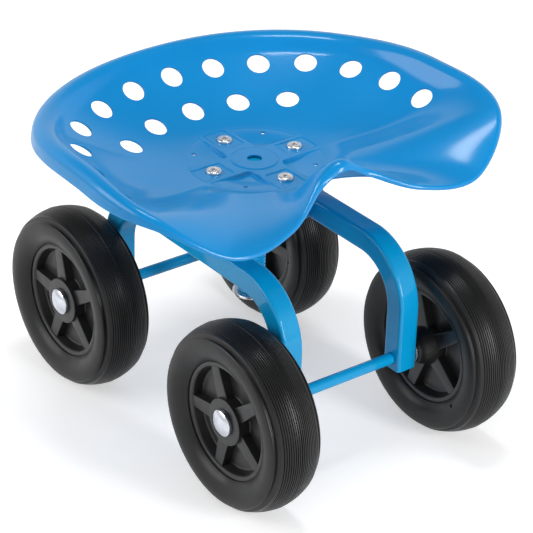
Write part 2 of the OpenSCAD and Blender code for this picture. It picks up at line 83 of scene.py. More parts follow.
wheels = {
    "front_left": (1, 1, 37), "front_right": (1, -1, 41),
    "rear_left": (-1, 1, 0), "rear_right": (-1, -1, 30),
}


def tread_at(offset):
    """Radius of the tread at a distance from its middle."""
    return tyre_radius - rib_drop - tread_crown * (offset / tread_half) ** 2


def wall_at(radius, angle):
    """A point of the sidewall's arc."""
    return (wall_centre[0] + radius * math.sin(angle), wall_centre[1] + radius * math.cos(angle))


def softened(corners, steps=3):
    """Rounds an outline's corners: each is (x, y, cut), with the cut in mm."""
    made = []
    count = len(corners)
    for i, (x, y, cut) in enumerate(corners):
        if cut <= 0:
            made.append((x, y))
            continue
        here = np.array((x, y), float)
        ends = []
        for other in (corners[i - 1], corners[(i + 1) % count]):
            away = np.array(other[:2], float) - here
            length = np.linalg.norm(away)
            ends.append(here + away / length * min(cut, length * 0.45))
        for k in range(steps + 1):
            s = k / steps
            point = (1 - s) ** 2 * ends[0] + 2 * s * (1 - s) * here + s * s * ends[1]
            made.append((float(point[0]), float(point[1])))
    return made


def grid_mesh(name, rows, round_rows=True, round_across=True, crease=35):
    """Skins a grid of points (rows, across, 3) in mm and shades it smooth up to a crease angle."""
    rows = np.asarray(rows, float)
    count, across = rows.shape[:2]
    faces = []
    for i in range(count if round_rows else count - 1):
        j = (i + 1) % count
        for k in range(across if round_across else across - 1):
            m = (k + 1) % across
            faces.append((i * across + k, i * across + m, j * across + m, j * across + k))
    mesh = bpy.data.meshes.new(name)
    mesh.from_pydata((rows.reshape(-1, 3) * mm).tolist(), [], faces)
    return tidied(mesh, crease)


def tidied(mesh, crease=35):
    """Merges doubled points, turns all faces outwards and sets smooth shading."""
    bm = bmesh.new()
    bm.from_mesh(mesh)
    bmesh.ops.remove_doubles(bm, verts=bm.verts, dist=0.00001)
    bmesh.ops.dissolve_degenerate(bm, edges=bm.edges, dist=0.000001)
    bmesh.ops.recalc_face_normals(bm, faces=bm.faces)
    bm.to_mesh(mesh)
    bm.free()
    mesh.shade_smooth()
    mesh.set_sharp_from_angle(angle=math.radians(crease))
    return mesh


def spun(name, outline, steps=128, crease=35):
    """Turns a closed outline of (radius, height) round the Z axis."""
    flat = np.array(outline, float)
    turn = np.linspace(0, 2 * math.pi, steps, endpoint=False)
    rows = np.stack([
        np.outer(np.cos(turn), flat[:, 0]),
        np.outer(np.sin(turn), flat[:, 0]),
        np.tile(flat[:, 1], (steps, 1)),
    ], axis=2)
    return grid_mesh(name, rows, crease=crease)


def cut_away(mesh, *tools, crease=35):
    """Takes closed tool meshes out of a mesh and returns what is left, shaded smooth."""
    work = bpy.data.objects.new("work", mesh)
    bpy.context.scene.collection.objects.link(work)
    held = [work]
    for tool in tools:
        cutter = bpy.data.objects.new("cutter", tool)
        bpy.context.scene.collection.objects.link(cutter)
        held.append(cutter)
        step = work.modifiers.new("cut", "BOOLEAN")
        step.operation = "DIFFERENCE"
        step.solver = "EXACT"
        step.object = cutter
    bpy.context.view_layer.update()
    graph = bpy.context.evaluated_depsgraph_get()
    made = bpy.data.meshes.new_from_object(work.evaluated_get(graph))
    made.name = mesh.name
    for thing in held:
        bpy.data.objects.remove(thing)
    made.shade_smooth()
    made.set_sharp_from_angle(angle=math.radians(crease))
    return made


def joined(name, meshes, crease=35):
    """Puts several meshes into one piece."""
    bm = bmesh.new()
    for mesh in meshes:
        bm.from_mesh(mesh)
    made = bpy.data.meshes.new(name)
    bm.to_mesh(made)
    bm.free()
    made.shade_smooth()
    made.set_sharp_from_angle(angle=math.radians(crease))
    return made


def moved(mesh, matrix):
    """A copy of a mesh in another place."""
    made = mesh.copy()
    made.transform(matrix)
    return made


def fitted(name, mesh, finish, body, stands_for=(), place=None):
    """Adds a piece in its place, with its finish and the body it moves with."""
    if place is not None:
        mesh = mesh.copy()
        mesh.transform(place)
    thing = bpy.data.objects.new(name, mesh)
    bpy.context.scene.collection.objects.link(thing)
    mesh.materials.clear()
    mesh.materials.append(finish)
    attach(thing, body)
    if stands_for:
        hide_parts(*stands_for)
    return thing


def cloud(tree, where, scale, detail=3.0, rough=0.5):
    """A noise pattern in the piece's own coordinates; scale is in waves per metre."""
    made = tree.nodes.new("ShaderNodeTexNoise")
    made.inputs["Scale"].default_value = scale
    made.inputs["Detail"].default_value = detail
    made.inputs["Roughness"].default_value = rough
    tree.links.new(where.outputs["Object"], made.inputs["Vector"])
    return made.outputs["Fac"]


def blended(tree, factor, low, high, start=0.3, end=0.7):
    """Runs from one colour to another as a pattern goes from start to end."""
    made = tree.nodes.new("ShaderNodeValToRGB")
    made.color_ramp.elements[0].position = start
    made.color_ramp.elements[1].position = end
    made.color_ramp.elements[0].color = (*low, 1)
    made.color_ramp.elements[1].color = (*high, 1)
    tree.links.new(factor, made.inputs["Fac"])
    return made.outputs["Color"]


def ranged(tree, factor, low, high):
    """Runs from one number to another as a pattern goes from 0.25 to 0.75."""
    made = tree.nodes.new("ShaderNodeMapRange")
    made.inputs["From Min"].default_value = 0.25
    made.inputs["From Max"].default_value = 0.75
    made.inputs["To Min"].default_value = low
    made.inputs["To Max"].default_value = high
    tree.links.new(factor, made.inputs["Value"])
    return made.outputs["Result"]


def grained(tree, shader, factor, height, strength=0.5, below=None):
    """A fine relief on the surface; height is in millimetres."""
    made = tree.nodes.new("ShaderNodeBump")
    made.inputs["Strength"].default_value = strength
    made.inputs["Distance"].default_value = height * mm
    tree.links.new(factor, made.inputs["Height"])
    if below is not None:
        tree.links.new(below, made.inputs["Normal"])
    tree.links.new(made.outputs["Normal"], shader.inputs["Normal"])
    return made.outputs["Normal"]


def new_finish(name, colour, satin=None):
    """A node material whose colour and roughness drift; each is a noise's scale and detail, low, high."""
    made = bpy.data.materials.new(name)
    made.use_nodes = True
    tree = made.node_tree
    shader = tree.nodes["Principled BSDF"]
    where = tree.nodes.new("ShaderNodeTexCoord")
    tree.links.new(blended(tree, cloud(tree, where, *colour[:2]), *colour[2:]), shader.inputs["Base Color"])
    if satin:
        tree.links.new(ranged(tree, cloud(tree, where, *satin[:2]), *satin[2:]), shader.inputs["Roughness"])
    return made, tree, shader, where


tyre_rubber, tree, shader, where = new_finish(
    "tyre_rubber", (22, 4, (0.007, 0.007, 0.0074), (0.013, 0.013, 0.0134)), (60, 4, 0.3, 0.42))
pores = grained(tree, shader, cloud(tree, where, 2400, 2), 0.05, 0.35)
grained(tree, shader, cloud(tree, where, 90, 2), 0.12, 0.25, pores)
shader.inputs["Specular IOR Level"].default_value = 0.28

# half of the tyre's section, from the parting line outwards: share of a rib's pitch and depth
rib_form = ((-0.3, 0), (-0.24, -rib_round), (0.24, -rib_round), (0.3, 0),
            (0.42, groove_depth), (0.58, groove_depth))
half = [(tyre_radius, 0.0), (tyre_radius, parting_half),
        (tyre_radius - parting_height, parting_half * 1.6)]
for i in range(rib_count):
    for share, depth in rib_form:
        offset = (i + share) * rib_pitch
        if offset > parting_half * 2:
            half.append((tread_at(offset) - depth - rib_round, offset))
rib_end = (rib_count - 0.3) * rib_pitch
for i in range(9):
    offset = rib_end + (tread_half - 0.5 - rib_end) * i / 8
    half.append((tread_at(offset), offset))
# the shoulder, the step beside it and the raised ring
half += [(tread_at(tread_half) - 0.25, tread_half - 0.12), (tread_at(tread_half) - 0.8, tread_half + 0.1),
         (step_radius + 0.7, tread_half + 0.95), (step_radius + 0.1, tread_half + 1.3),
         (step_radius, tread_half + 1.9), (step_radius + 0.1, tread_half + 2.8),
         (ring_radius - 0.35, tread_half + 3.3), (ring_radius, tread_half + 3.8),
         (ring_radius - 0.1, tread_half + 4.6), (ring_radius - 0.5, tread_half + 5.15)]
half += [wall_at(wall_arc, wall_top + (wall_foot - wall_top) * i / 32) for i in range(33)]
half += [(bead_top, bead_half + 2.2), (bead_top, bead_half), (bead_radius, bead_half)]
inside = [(bead_radius, bead_half - 7.0)]
inside += [wall_at(wall_arc - tyre_skin, inner_foot + (inner_top - inner_foot) * i / 8) for i in range(9)]
inside += [(inner_shoulder, tread_half / 2), (tyre_radius - crown_skin, 0.0)]
outline = half + inside[:-1]
outline += [(r, -h) for r, h in reversed(inside[:-1])] + [(r, -h) for r, h in reversed(half[1:])]
tyre_mesh = spun("tyre", outline, tyre_steps, tyre_crease)
vent = spun("vent", [(0, vent_from), (vent_radius, vent_from), (vent_radius, vent_to), (0, vent_to)], 32)
vent.transform(Matrix.Translation((vent_reach * mm, 0, 0)))
tyre_mesh = cut_away(tyre_mesh, vent, crease=tyre_crease)


def at_wheel(front, left, turn=0, out=half_track):
    """Where a part sits on its axle: its own Z axis points away from the frame."""
    spot = Vector((front * half_base, left * out, wheel_middle)) * mm
    return (Matrix.Translation(spot) @ Matrix.Rotation(math.radians(-90 * left), 4, "X")
            @ Matrix.Rotation(math.radians(turn), 4, "Z"))


for wheel, (front, left, turn) in wheels.items():
    fitted("tyre_rubber_" + wheel, tyre_mesh, tyre_rubber, "wheel_" + wheel,
           ["tyre_" + wheel], at_wheel(front, left, turn))


# ---------------------------------------------------------- wheel centres
# One-piece moulded black plastic centres: a rim whose thin lips hold the
# tyre's beads, five wide spokes on each side of a floor, a round boss and
# a bell-shaped sleeve that keeps the wheel off the frame's leg.
hub_bore = 6.4
rim_radius = 62.2
lip_radius = 64.0
lip_face = 21.4
recess_radius = 59.0
recess_root = 56.0
floor_half = 9.5
spoke_face = 19.5
spoke_tip = 12.5
spoke_root = 18.0
spoke_draft = 0.7
spokes = 5
boss_radius = 25.6
boss_face = 23.4
sleeve_root = 24.0
sleeve_tip = 15.4
sleeve_face = 38.9
sleeve_bell = [(sleeve_root - 0.6, -15.0, 3.0), (19.6, -25.0, 5.0), (16.4, -33.0, 3.0)]

moulded_plastic, tree, shader, where = new_finish(
    "moulded_plastic", (35, 3, (0.010, 0.010, 0.0105), (0.016, 0.016, 0.0165)), (120, 3, 0.3, 0.42))
grained(tree, shader, cloud(tree, where, 1800, 2), 0.04, 0.4)

centre = spun("centre", softened([
    (hub_bore, boss_face, 0.5), (boss_radius, boss_face, 0.9), (boss_radius + 0.3, floor_half, 1.2),
    (recess_root, floor_half, 1.6), (recess_radius - 0.6, spoke_face, 0.3),
    (recess_radius + 0.7, lip_face, 0.5), (lip_radius, lip_face, 0.7), (lip_radius, bead_half, 0.3),
    (rim_radius, bead_half, 0), (rim_radius, -bead_half, 0), (lip_radius, -bead_half, 0.3),
    (lip_radius, -lip_face, 0.7), (recess_radius + 0.7, -lip_face, 0.5),
    (recess_radius - 0.6, -spoke_face, 0.3), (recess_root, -floor_half, 1.6),
    (sleeve_root, -floor_half, 1.2), *sleeve_bell,
    (sleeve_tip, -sleeve_face, 0.6), (hub_bore, -sleeve_face, 0.4)]), 192)


def spoke_mesh(face):
    """A tapered spoke with rounded upper edges, on the outer or inner side."""
    rows = []
    for reach, width in ((sleeve_tip, spoke_root), (rim_radius - 1.6, spoke_tip)):
        section = softened([(-width / 2 - spoke_draft, floor_half - 1, 0), (-width / 2, spoke_face, 0.9),
                            (width / 2, spoke_face, 0.9), (width / 2 + spoke_draft, floor_half - 1, 0)])
        rows.append([(reach, x, face * z) for x, z in section])
    ends = np.array(rows).mean(axis=1)
    rows = [[tuple(ends[0])] * len(rows[0])] + rows + [[tuple(ends[1])] * len(rows[0])]
    return grid_mesh("spoke", rows, round_rows=False)


parts = [centre]
for face in (1, -1):
    spoke = spoke_mesh(face)
    parts += [moved(spoke, Matrix.Rotation(2 * math.pi * i / spokes, 4, "Z")) for i in range(spokes)]
hub_mesh = joined("hub", parts)
for wheel, (front, left, turn) in wheels.items():
    fitted("hub_centre_" + wheel, hub_mesh, moulded_plastic, "wheel_" + wheel,
           ["hub_" + wheel], at_wheel(front, left, turn))


# ------------------------------------------------- axle rods and washers
# Two round steel rods, powder coated with the frame, run through the legs
# and the wheels. A zinc washer keeps each wheel's sleeve off the leg.
axle_radius = 6.35
axle_end = 159.5
clearance = 0.05
washer_radius = 12.5
washer_thick = 2
washer_seat = 90.8


def blue_paint(name, low, high, coat, coat_roughness):
    """Powder coat: nearly even blue with a faint orange peel under a clear gloss."""
    paint, tree, shader, where = new_finish(name, (9, 3, low, high), (45, 4, 0.34, 0.42))
    peel = grained(tree, shader, cloud(tree, where, 420, 2), 0.03, 0.22)
    grained(tree, shader, cloud(tree, where, 1500, 2), 0.01, 0.2, peel)
    shader.inputs["Coat Weight"].default_value = coat
    shader.inputs["Coat Roughness"].default_value = coat_roughness
    shader.inputs["Specular IOR Level"].default_value = 0.08
    return paint


frame_coat = blue_paint("frame_coat", (0.0003, 0.285, 0.58), (0.0006, 0.305, 0.61), 0.5, 0.07)

zinc_plate, tree, shader, where = new_finish(
    "zinc_plate", (300, 4, (0.60, 0.61, 0.63), (0.80, 0.81, 0.83)), (700, 4, 0.2, 0.38))
grained(tree, shader, cloud(tree, where, 2500, 3), 0.02, 0.3)
shader.inputs["Metallic"].default_value = 1.0

rod_mesh = spun("rod", softened([(0, axle_end, 0), (axle_radius, axle_end, 1.2),
                                 (axle_radius, -axle_end, 1.2), (0, -axle_end, 0)]), 64)
for name, front in (("front", 1), ("rear", -1)):
    fitted("axle_rod_" + name, rod_mesh, frame_coat, "frame", ["axle_" + name],
           at_wheel(front, 1, out=0))

washer = spun("washer", softened([
    (axle_radius + clearance, 0, 0.2), (axle_radius + clearance, washer_thick, 0.2),
    (washer_radius, washer_thick, 0.5), (washer_radius, 0, 0.2)]), 64)
washers = [moved(washer, at_wheel(front, left, out=washer_seat)) for front, left, turn in wheels.values()]
fitted("axle_washer_set", joined("axle_washer_set", washers), zinc_plate, "frame",
       ["axle_washers"])


# ------------------------------------------------------------- axle caps
# Pressed sheet caps, bright chrome plated, are driven over the rod's ends
# and hold the wheels on.
cap_radius = 14.8
cap_edge = 3.6
cap_dome = 4.6
cap_seat = 155.9
cap_sheet = 0.8

chrome_plate, tree, shader, where = new_finish(
    "chrome_plate", (150, 3, (0.50, 0.52, 0.57), (0.62, 0.64, 0.69)), (500, 4, 0.08, 0.18))
grained(tree, shader, cloud(tree, where, 160, 2), 0.05, 0.25)
shader.inputs["Metallic"].default_value = 1.0

dome_radius = (cap_radius ** 2 + cap_dome ** 2) / (2 * cap_dome)
dome_angle = math.asin(cap_radius / dome_radius)


def cap_dome_line(radius, base, steps=14):
    """The cap's domed end, from its edge to its middle."""
    angles = [dome_angle * (1 - i / steps) for i in range(steps + 1)]
    return [(radius * math.sin(a), base + radius * (math.cos(a) - math.cos(dome_angle))) for a in angles]


outer = cap_dome_line(dome_radius, cap_edge)
inner = cap_dome_line(dome_radius - cap_sheet, cap_edge - cap_sheet * math.cos(dome_angle))
cap_line = [(axle_radius, 0.0)]
cap_line += softened([(axle_radius, 0, 0), (cap_radius, 0, 0.5), (cap_radius, cap_edge, 1.3),
                      (*outer[1], 0)])[1:-1]
cap_line += outer[2:] + inner[::-1] + [(inner[0][0], cap_sheet), (axle_radius, cap_sheet)]
cap_mesh = spun("cap", cap_line, 96)
caps = [moved(cap_mesh, at_wheel(front, left, out=cap_seat)) for front, left, turn in wheels.values()]
fitted("axle_cap_set", joined("axle_cap_set", caps), chrome_plate, "frame", ["axle_caps"])


# --------------------------------------------------------------- arches
# Two lengths of square steel tube, bent to arches over the axles and cut
# square at the foot, with a hole through each leg for the rod. Powder
# coated blue after welding.
tube_half = 12.7
tube_corner = 4.0
tube_wall = 1.6
arch_y = 77.7
arch_top = 218.0
arch_bend = 60.0
leg_foot = 88.9
leg_hole = 6.65
leg_hole_reach = 220
bend_steps = 32


def tube_section(half, corner, steps=7):
    """A square with rounded corners, as (across, up) points."""
    made = []
    for q in range(4):
        turn = math.pi / 2 * q
        middle = half - corner
        for k in range(steps):
            a = turn + math.pi / 2 * k / (steps - 1)
            cx = middle * (math.cos(turn) - math.sin(turn))
            cy = middle * (math.sin(turn) + math.cos(turn))
            made.append((cx + corner * math.cos(a), cy + corner * math.sin(a)))
    return made


def flat_sided(mesh):
    """Keeps the flat sides flat under smooth shading, and returns the new mesh."""
    work = bpy.data.objects.new("work", mesh)
    bpy.context.scene.collection.objects.link(work)
    step = work.modifiers.new("weigh", "WEIGHTED_NORMAL")
    step.weight = 100
    step.keep_sharp = True
    bpy.context.view_layer.update()
    made = bpy.data.meshes.new_from_object(work.evaluated_get(bpy.context.evaluated_depsgraph_get()))
    made.name = mesh.name
    bpy.data.objects.remove(work)
    return made


def arch_rows(half, corner, y):
    """The tube's section carried along the arch, from the rear foot to the front foot."""
    section = tube_section(half, corner)
    line = [(-half_base, leg_foot, 90.0)]
    middle = arch_top - arch_bend
    for front, start in ((-1, 180), (1, 90)):
        for k in range(bend_steps + 1):
            a = start - 90 * k / bend_steps
            line.append((front * (half_base - arch_bend) + arch_bend * math.cos(math.radians(a)),
                         middle + arch_bend * math.sin(math.radians(a)), a - 90))
    line.append((half_base, leg_foot, -90.0))
    rows = []
    for x, z, heading in line:
        a = math.radians(heading + 90)
        rows.append([(x + v * math.cos(a), y + u, z + v * math.sin(a)) for u, v in section])
    return rows


def tube_mesh(name, outside, inside):
    """An open-ended tube from its outer and inner rows."""
    return grid_mesh(name, outside + inside[::-1])


leg_hole_tools = []
for front in (1, -1):
    tool = spun("tool", [(0, -leg_hole_reach), (leg_hole, -leg_hole_reach),
                         (leg_hole, leg_hole_reach), (0, leg_hole_reach)], 64)
    leg_hole_tools.append(moved(tool, at_wheel(front, 1, out=0)))
for name, side in (("left", 1), ("right", -1)):
    mesh = tube_mesh("arch_tube_" + name, arch_rows(tube_half, tube_corner, side * arch_y),
                     arch_rows(tube_half - tube_wall, tube_corner - tube_wall, side * arch_y))
    mesh = cut_away(mesh, *leg_hole_tools)
    fitted("arch_tube_" + name, flat_sided(mesh), frame_coat, "frame", ["arch_" + name])


# -------------------------------------------- cross tubes, socket and welds
# Two short lengths of the same tube join the arches to an upright socket.
# Their ends are shaped to the socket, and all joints are welded round
# before coating, so the weld's ripples show through the blue.
screw_back = 12.0
socket_radius = 21.05
socket_bore = 15.05
socket_foot = 196.0
socket_head = 241.0
arch_inside = arch_y - tube_half
at_screw = Matrix.Translation((-screw_back * mm, 0, 0))
weld_size = 2.3
weld_ripple = 2.6
weld_waist = 0.9
ripple_share = 0.13
wander_share = 0.05


def cross_rows(half, corner, side):
    """The tube's section at the socket and at the arch."""
    section = tube_section(half, corner)
    near = [(u, side * math.sqrt(socket_radius ** 2 - u * u), arch_top + v) for u, v in section]
    far = [(u, side * arch_inside, arch_top + v) for u, v in section]
    return [near, far]


def weld_bead(name, line, axis):
    """A rippled bead laid along a closed line."""
    line = np.array(line, float)
    ahead = np.roll(line, -1, axis=0) - np.roll(line, 1, axis=0)
    ahead /= np.linalg.norm(ahead, axis=1)[:, None]
    out = np.cross(ahead, np.array(axis, float))
    out /= np.linalg.norm(out, axis=1)[:, None]
    up = np.cross(out, ahead)
    steps = np.linalg.norm(np.roll(line, -1, axis=0) - line, axis=1)
    along = np.concatenate([[0], np.cumsum(steps)[:-1]])
    waves = max(8, round(steps.sum() / weld_ripple))
    phase = along / steps.sum() * waves
    thick = weld_size * (weld_waist + ripple_share * np.abs(np.sin(math.pi * phase))
                         + wander_share * np.sin(phase * 1.7))
    turn = np.linspace(0, 2 * math.pi, 12, endpoint=False)
    rows = [line[i] + thick[i] * (np.outer(np.cos(turn), out[i]) + np.outer(np.sin(turn), up[i]))
            for i in range(len(line))]
    return grid_mesh(name, rows, crease=60)


def closely(points, gap=0.5):
    """Adds points along a closed line so that none lie further apart than the gap."""
    points = np.array(points, float)
    made = []
    for here, there in zip(points, np.roll(points, -1, axis=0)):
        count = max(1, int(np.linalg.norm(there - here) / gap))
        made += [here + (there - here) * k / count for k in range(count)]
    return made


welds = []
for name, side in (("left", 1), ("right", -1)):
    mesh = tube_mesh("cross_tube_steel_" + name, cross_rows(tube_half, tube_corner, side),
                     cross_rows(tube_half - tube_wall, tube_corner - tube_wall, side))
    fitted("cross_tube_steel_" + name, flat_sided(mesh), frame_coat, "frame",
           ["cross_tube_" + name], at_screw)
    ring = closely(tube_section(tube_half, tube_corner))
    welds.append(weld_bead("weld", [(u, side * arch_inside, arch_top + v) for u, v in ring], (0, 1, 0)))
    welds.append(weld_bead("weld", [(u, side * math.sqrt(socket_radius ** 2 - u * u), arch_top + v)
                                    for u, v in ring], (0, 1, 0)))
fitted("frame_welds", joined("frame_welds", welds, 60), frame_coat, "frame",
       place=at_screw)
socket = spun("socket", softened([(socket_bore, socket_foot, 0.5), (socket_bore, socket_head, 0.8),
                                  (socket_radius, socket_head, 1.0), (socket_radius, socket_foot, 1.0)]), 96)
fitted("socket_steel", socket, frame_coat, "frame", ["screw_socket"], at_screw)


# ------------------------------------------------------------ screw post
# A round steel screw with a coarse square-shouldered thread turns in the
# socket and sets the seat's height. It is welded under the seat plate and
# coated with it.
post_radius = 15.0
thread_depth = 1.35
thread_pitch = 4.0
post_foot = 132.0
thread_end = 274.0
thread_fade = 2.0
post_head = 281.7
post_chamfer = 2.2
stop_hole = 5.05
stop_hole_depth = 23.0
crest = 0.12
around = 96
# share of the pitch and height over the flank's top, as shares of the thread's depth
thread_form = [(0.0, 0.0), (0.03, crest), (0.30, crest), (0.33, 0.0), (0.5, -0.85), (0.53, -1.0),
               (0.80, -1.0), (0.83, -0.85)]


def thread_radius(share, z):
    """The screw's radius where the thread's form is this far along its pitch."""
    shares = [s for s, d in thread_form] + [1.0]
    depths = [d for s, d in thread_form] + [0.0]
    relief = np.interp(share % 1.0, shares, depths) - crest
    full = post_radius + relief * thread_depth
    faded = np.clip((thread_end - z) / thread_fade, 0, 1)
    chamfer = post_radius - post_chamfer + np.clip(z - post_foot, 0, 3)
    return min(full * faded + (post_radius - clearance) * (1 - faded), chamfer)


def post_ring(radius, z):
    """One closed row of points round the screw."""
    turned = [2 * math.pi * i / around for i in range(around + 1)]
    return [(radius * math.cos(a), radius * math.sin(a), z) for a in turned]


turns = int((thread_end - post_foot) / thread_pitch) + 2
rows = []
for turn in range(-1, turns):
    for share, depth in thread_form:
        row = []
        for i in range(around + 1):
            z = post_foot + (turn + share + i / around) * thread_pitch
            z = min(max(z, post_foot), thread_end)
            r = thread_radius((z - post_foot) / thread_pitch - i / around, z)
            a = 2 * math.pi * i / around
            row.append((r * math.cos(a), r * math.sin(a), z))
        rows.append(row)
hole_top = post_foot + stop_hole_depth
rows = [post_ring(0, hole_top), post_ring(stop_hole, hole_top), post_ring(stop_hole, post_foot), *rows,
        post_ring(post_radius - clearance, post_head), post_ring(0, post_head)]
post_mesh = grid_mesh("post", rows, round_rows=False, round_across=False, crease=28)
fitted("screw_post_thread", post_mesh, frame_coat, "seat", ["screw_post"], at_screw)

circle = [(post_radius * math.cos(a), post_radius * math.sin(a), post_head)
          for a in np.linspace(0, 2 * math.pi, 180, endpoint=False)]
fitted("seat_plate_weld", weld_bead("seat_plate_weld", circle, (0, 0, 1)), frame_coat, "seat",
       place=at_screw)


# ---------------------------------------------------- stop washer and bolt
# A wide zinc washer under the screw's lower end is held by a hexagon bolt,
# so that the screw can't be turned out of the socket.
stop_washer_radius = 20.0
stop_washer_foot = 128.85
stop_washer_thick = 3.0
stop_bolt_radius = 5.0
stop_bolt_flats = 16.0
stop_bolt_head = 6.4
stop_bolt_top = 154.0
stop_gap = 0.15


def hexagon_part(name, flats, height, bore, steps=12):
    """A hexagon head or nut with chamfered corners; a bore of 0 leaves it closed."""
    rows = []
    for i in range(6 * steps):
        a = 2 * math.pi * i / (6 * steps)
        near = (a % (math.pi / 3)) - math.pi / 6
        side = flats / 2 / math.cos(near)
        drop = (side - flats / 2 * 0.97) * math.tan(math.radians(30))
        line = [(bore, 0), (flats / 2 * 0.95, 0), (side, drop), (side, height - drop),
                (flats / 2 * 0.95, height), (bore, height)]
        rows.append([(r * math.cos(a), r * math.sin(a), z) for r, z in line])
    return grid_mesh(name, rows, crease=25)


stop_washer = spun("stop_washer", softened([
    (stop_bolt_radius + clearance, 0, 0.2), (stop_bolt_radius + clearance, stop_washer_thick, 0.2),
    (stop_washer_radius, stop_washer_thick, 0.7), (stop_washer_radius, 0, 0.3)]), 96)
stop_washer.transform(Matrix.Translation((0, 0, stop_washer_foot * mm)))
fitted("stop_washer_disc", stop_washer, zinc_plate, "screw_lift", ["stop_washer"], at_screw)
head_top = stop_washer_foot - stop_gap
head = hexagon_part("head", stop_bolt_flats, stop_bolt_head, 0)
head.transform(Matrix.Translation((0, 0, (head_top - stop_bolt_head) * mm)))
shank = spun("shank", softened([(0, head_top - 1, 0), (stop_bolt_radius, head_top - 1, 0),
                                (stop_bolt_radius, stop_bolt_top, 1), (0, stop_bolt_top, 0)]), 48)
fitted("stop_bolt_steel", joined("stop_bolt_steel", [head, shank], 25), zinc_plate, "seat",
       ["stop_bolt"], at_screw)


# --------------------------------------------------------------- seat pan
# One sheet of 2 mm steel, pressed to a tractor seat: a stamped middle, a
# bowl with rows of punched holes, two drooping thigh lobes either side of
# a front notch, and an edge rolled over and turned down. Powder coated.
seat_height = 289.6
sheet = 2.0
disc_radius = 76.0
station_angles = [0, 12, 26, 42, 60, 85, 120, 180]
reaches = [141.5, 145, 190, 235, 257, 232.5, 227, 187]
rises = [57.5, 42, 17.5, 12, 54, 65.7, 57.5, 61]
foot_slope = 6
side_angle = 85
side_slope = 50
slope_loss = 17
ridge_start = 0.16
roll_end = -82
side_fold = 4.5
back_fold = 4
back_ease = 4.5
side_join = 0.865
back_join_drop = 0.075
sector_depth = 3.6
sector_corner = 7.0
sector_fade = 0.9
fade_start = 38
fade_run = 34
cross_half = 19.0
pad_depth = 0.9
pad_half = 14.5
pad_start = disc_radius * 0.48
middle_height = 0.8
middle_radius = 26.4
stamp_start = 30
stamp_edge = 1.7
small_edge = 1.5
middle_hole = 8.0
bowl_hole = 12.5
hole_angles = [79.2, 93.8, 108.9, 125.1, 141.8, 160.2, 180, 126.8, 151.9, -180]
hole_reaches = [200.9, 194.2, 188.3, 182.4, 168.7, 156.7, 151.0, 129.8, 116.7, 110.8]
hole_lip = 0.7
lip_tuck = 0.3
lip_sink = 0.25
small_hole = 2.5
small_hole_reach = 65.0
bolt_hole = 4.3
bolt_reach = 53.4
punch_half = 8
pan_steps = 360


def ease(t):
    """A soft step from 0 to 1."""
    t = np.clip(t, 0, 1)
    return t * t * (3 - 2 * t)


def along_rim(values, angle):
    """A value of the rim's stations, carried smoothly round the rim."""
    last = len(station_angles) - 1
    i = max(k for k in range(last) if station_angles[k] <= angle)

    def trend(k):
        if k in (0, last):
            return 0.0
        return (values[k + 1] - values[k - 1]) / (station_angles[k + 1] - station_angles[k - 1])

    width = station_angles[i + 1] - station_angles[i]
    t = (angle - station_angles[i]) / width
    s = 1 - t
    return (values[i] * s * s * (1 + 2 * t) + values[i + 1] * t * t * (3 - 2 * t)
            + width * t * s * (trend(i) * s - trend(i + 1) * t))


# everything round the rim is worked out for these directions, 0 at the notch and 180 at the back
fine = np.linspace(0, 180, 1801)
to_side = ease((fine - 44) / 36)
reach_at = np.array([along_rim(reaches, a) for a in fine])
rise_at = np.array([along_rim(rises, a) for a in fine])


def staged(notch, lobe, side):
    """A value at the notch, the lobes and the sides, with soft steps between them."""
    return notch + (lobe - notch) * ease((fine - 8) / 20) + (side - lobe) * to_side


slope_at = np.radians(np.where(fine < side_angle, staged(12, -12, side_slope),
                               side_slope - slope_loss * ease((fine - side_angle) / 30)))
drop_at = staged(9.5, 5, 21)
ridge_at = staged(0, 9, 0)
roll_at = staged(9, 3.5, 7)
wall_span = reach_at - roll_at * np.sin(slope_at) - disc_radius
wall_rise = rise_at - roll_at * (1 - np.cos(slope_at))
wall_slope = np.tan(slope_at)
# past the rows of holes the sides steepen into a wider fold, inside the same outline;
# the joint lies at this share of the wall's span, lower at the back
fold_wider = (side_fold * to_side + back_fold * ease((fine - side_angle) / 40)
              - back_ease * ease((fine - 130) / 50))
roll_at = roll_at + fold_wider
reach_at = reach_at - fold_wider
join_share = side_join - back_join_drop * ease((fine - side_angle) / 60)


def hermite(t, width, low, high, low_slope, high_slope):
    """A smooth curve between two heights that leaves and arrives with given slopes."""
    return (low + (high - low) * t * t * (3 - 2 * t) + high_slope * width * t * t * (t - 1)
            + low_slope * width * t * (t - 1) ** 2)


def wall_height(s, f):
    """The bowl's wall at a share of its way up, before the fold."""
    span, top, slope, ridge = [np.interp(f, fine, t) for t in (wall_span, wall_rise, wall_slope, ridge_at)]
    return (hermite(s, span, 0, top, math.tan(math.radians(foot_slope)), slope)
            + ridge * ease(s / ridge_start) * (1 - s) ** 2)


small_share = 0.002
join_reach = disc_radius + wall_span * join_share
join_rise = wall_height(join_share, fine)
join_slope = (join_rise - wall_height(join_share - small_share, fine)) / (small_share * wall_span)
# the slope at the fold settles where the steeper piece meets both ends without a kink
steeper = slope_at
for turn in range(60):
    chord = ((rise_at - roll_at * (1 - np.cos(steeper)) - join_rise)
             / (reach_at - roll_at * np.sin(steeper) - join_reach))
    steeper = steeper + 0.2 * (np.arctan(2 * chord - join_slope) - steeper)
slope_at = slope_at + to_side * (steeper - slope_at)
top_reach = reach_at - roll_at * np.sin(slope_at)
top_rise = rise_at - roll_at * (1 - np.cos(slope_at))
fold_slope = np.tan(slope_at)


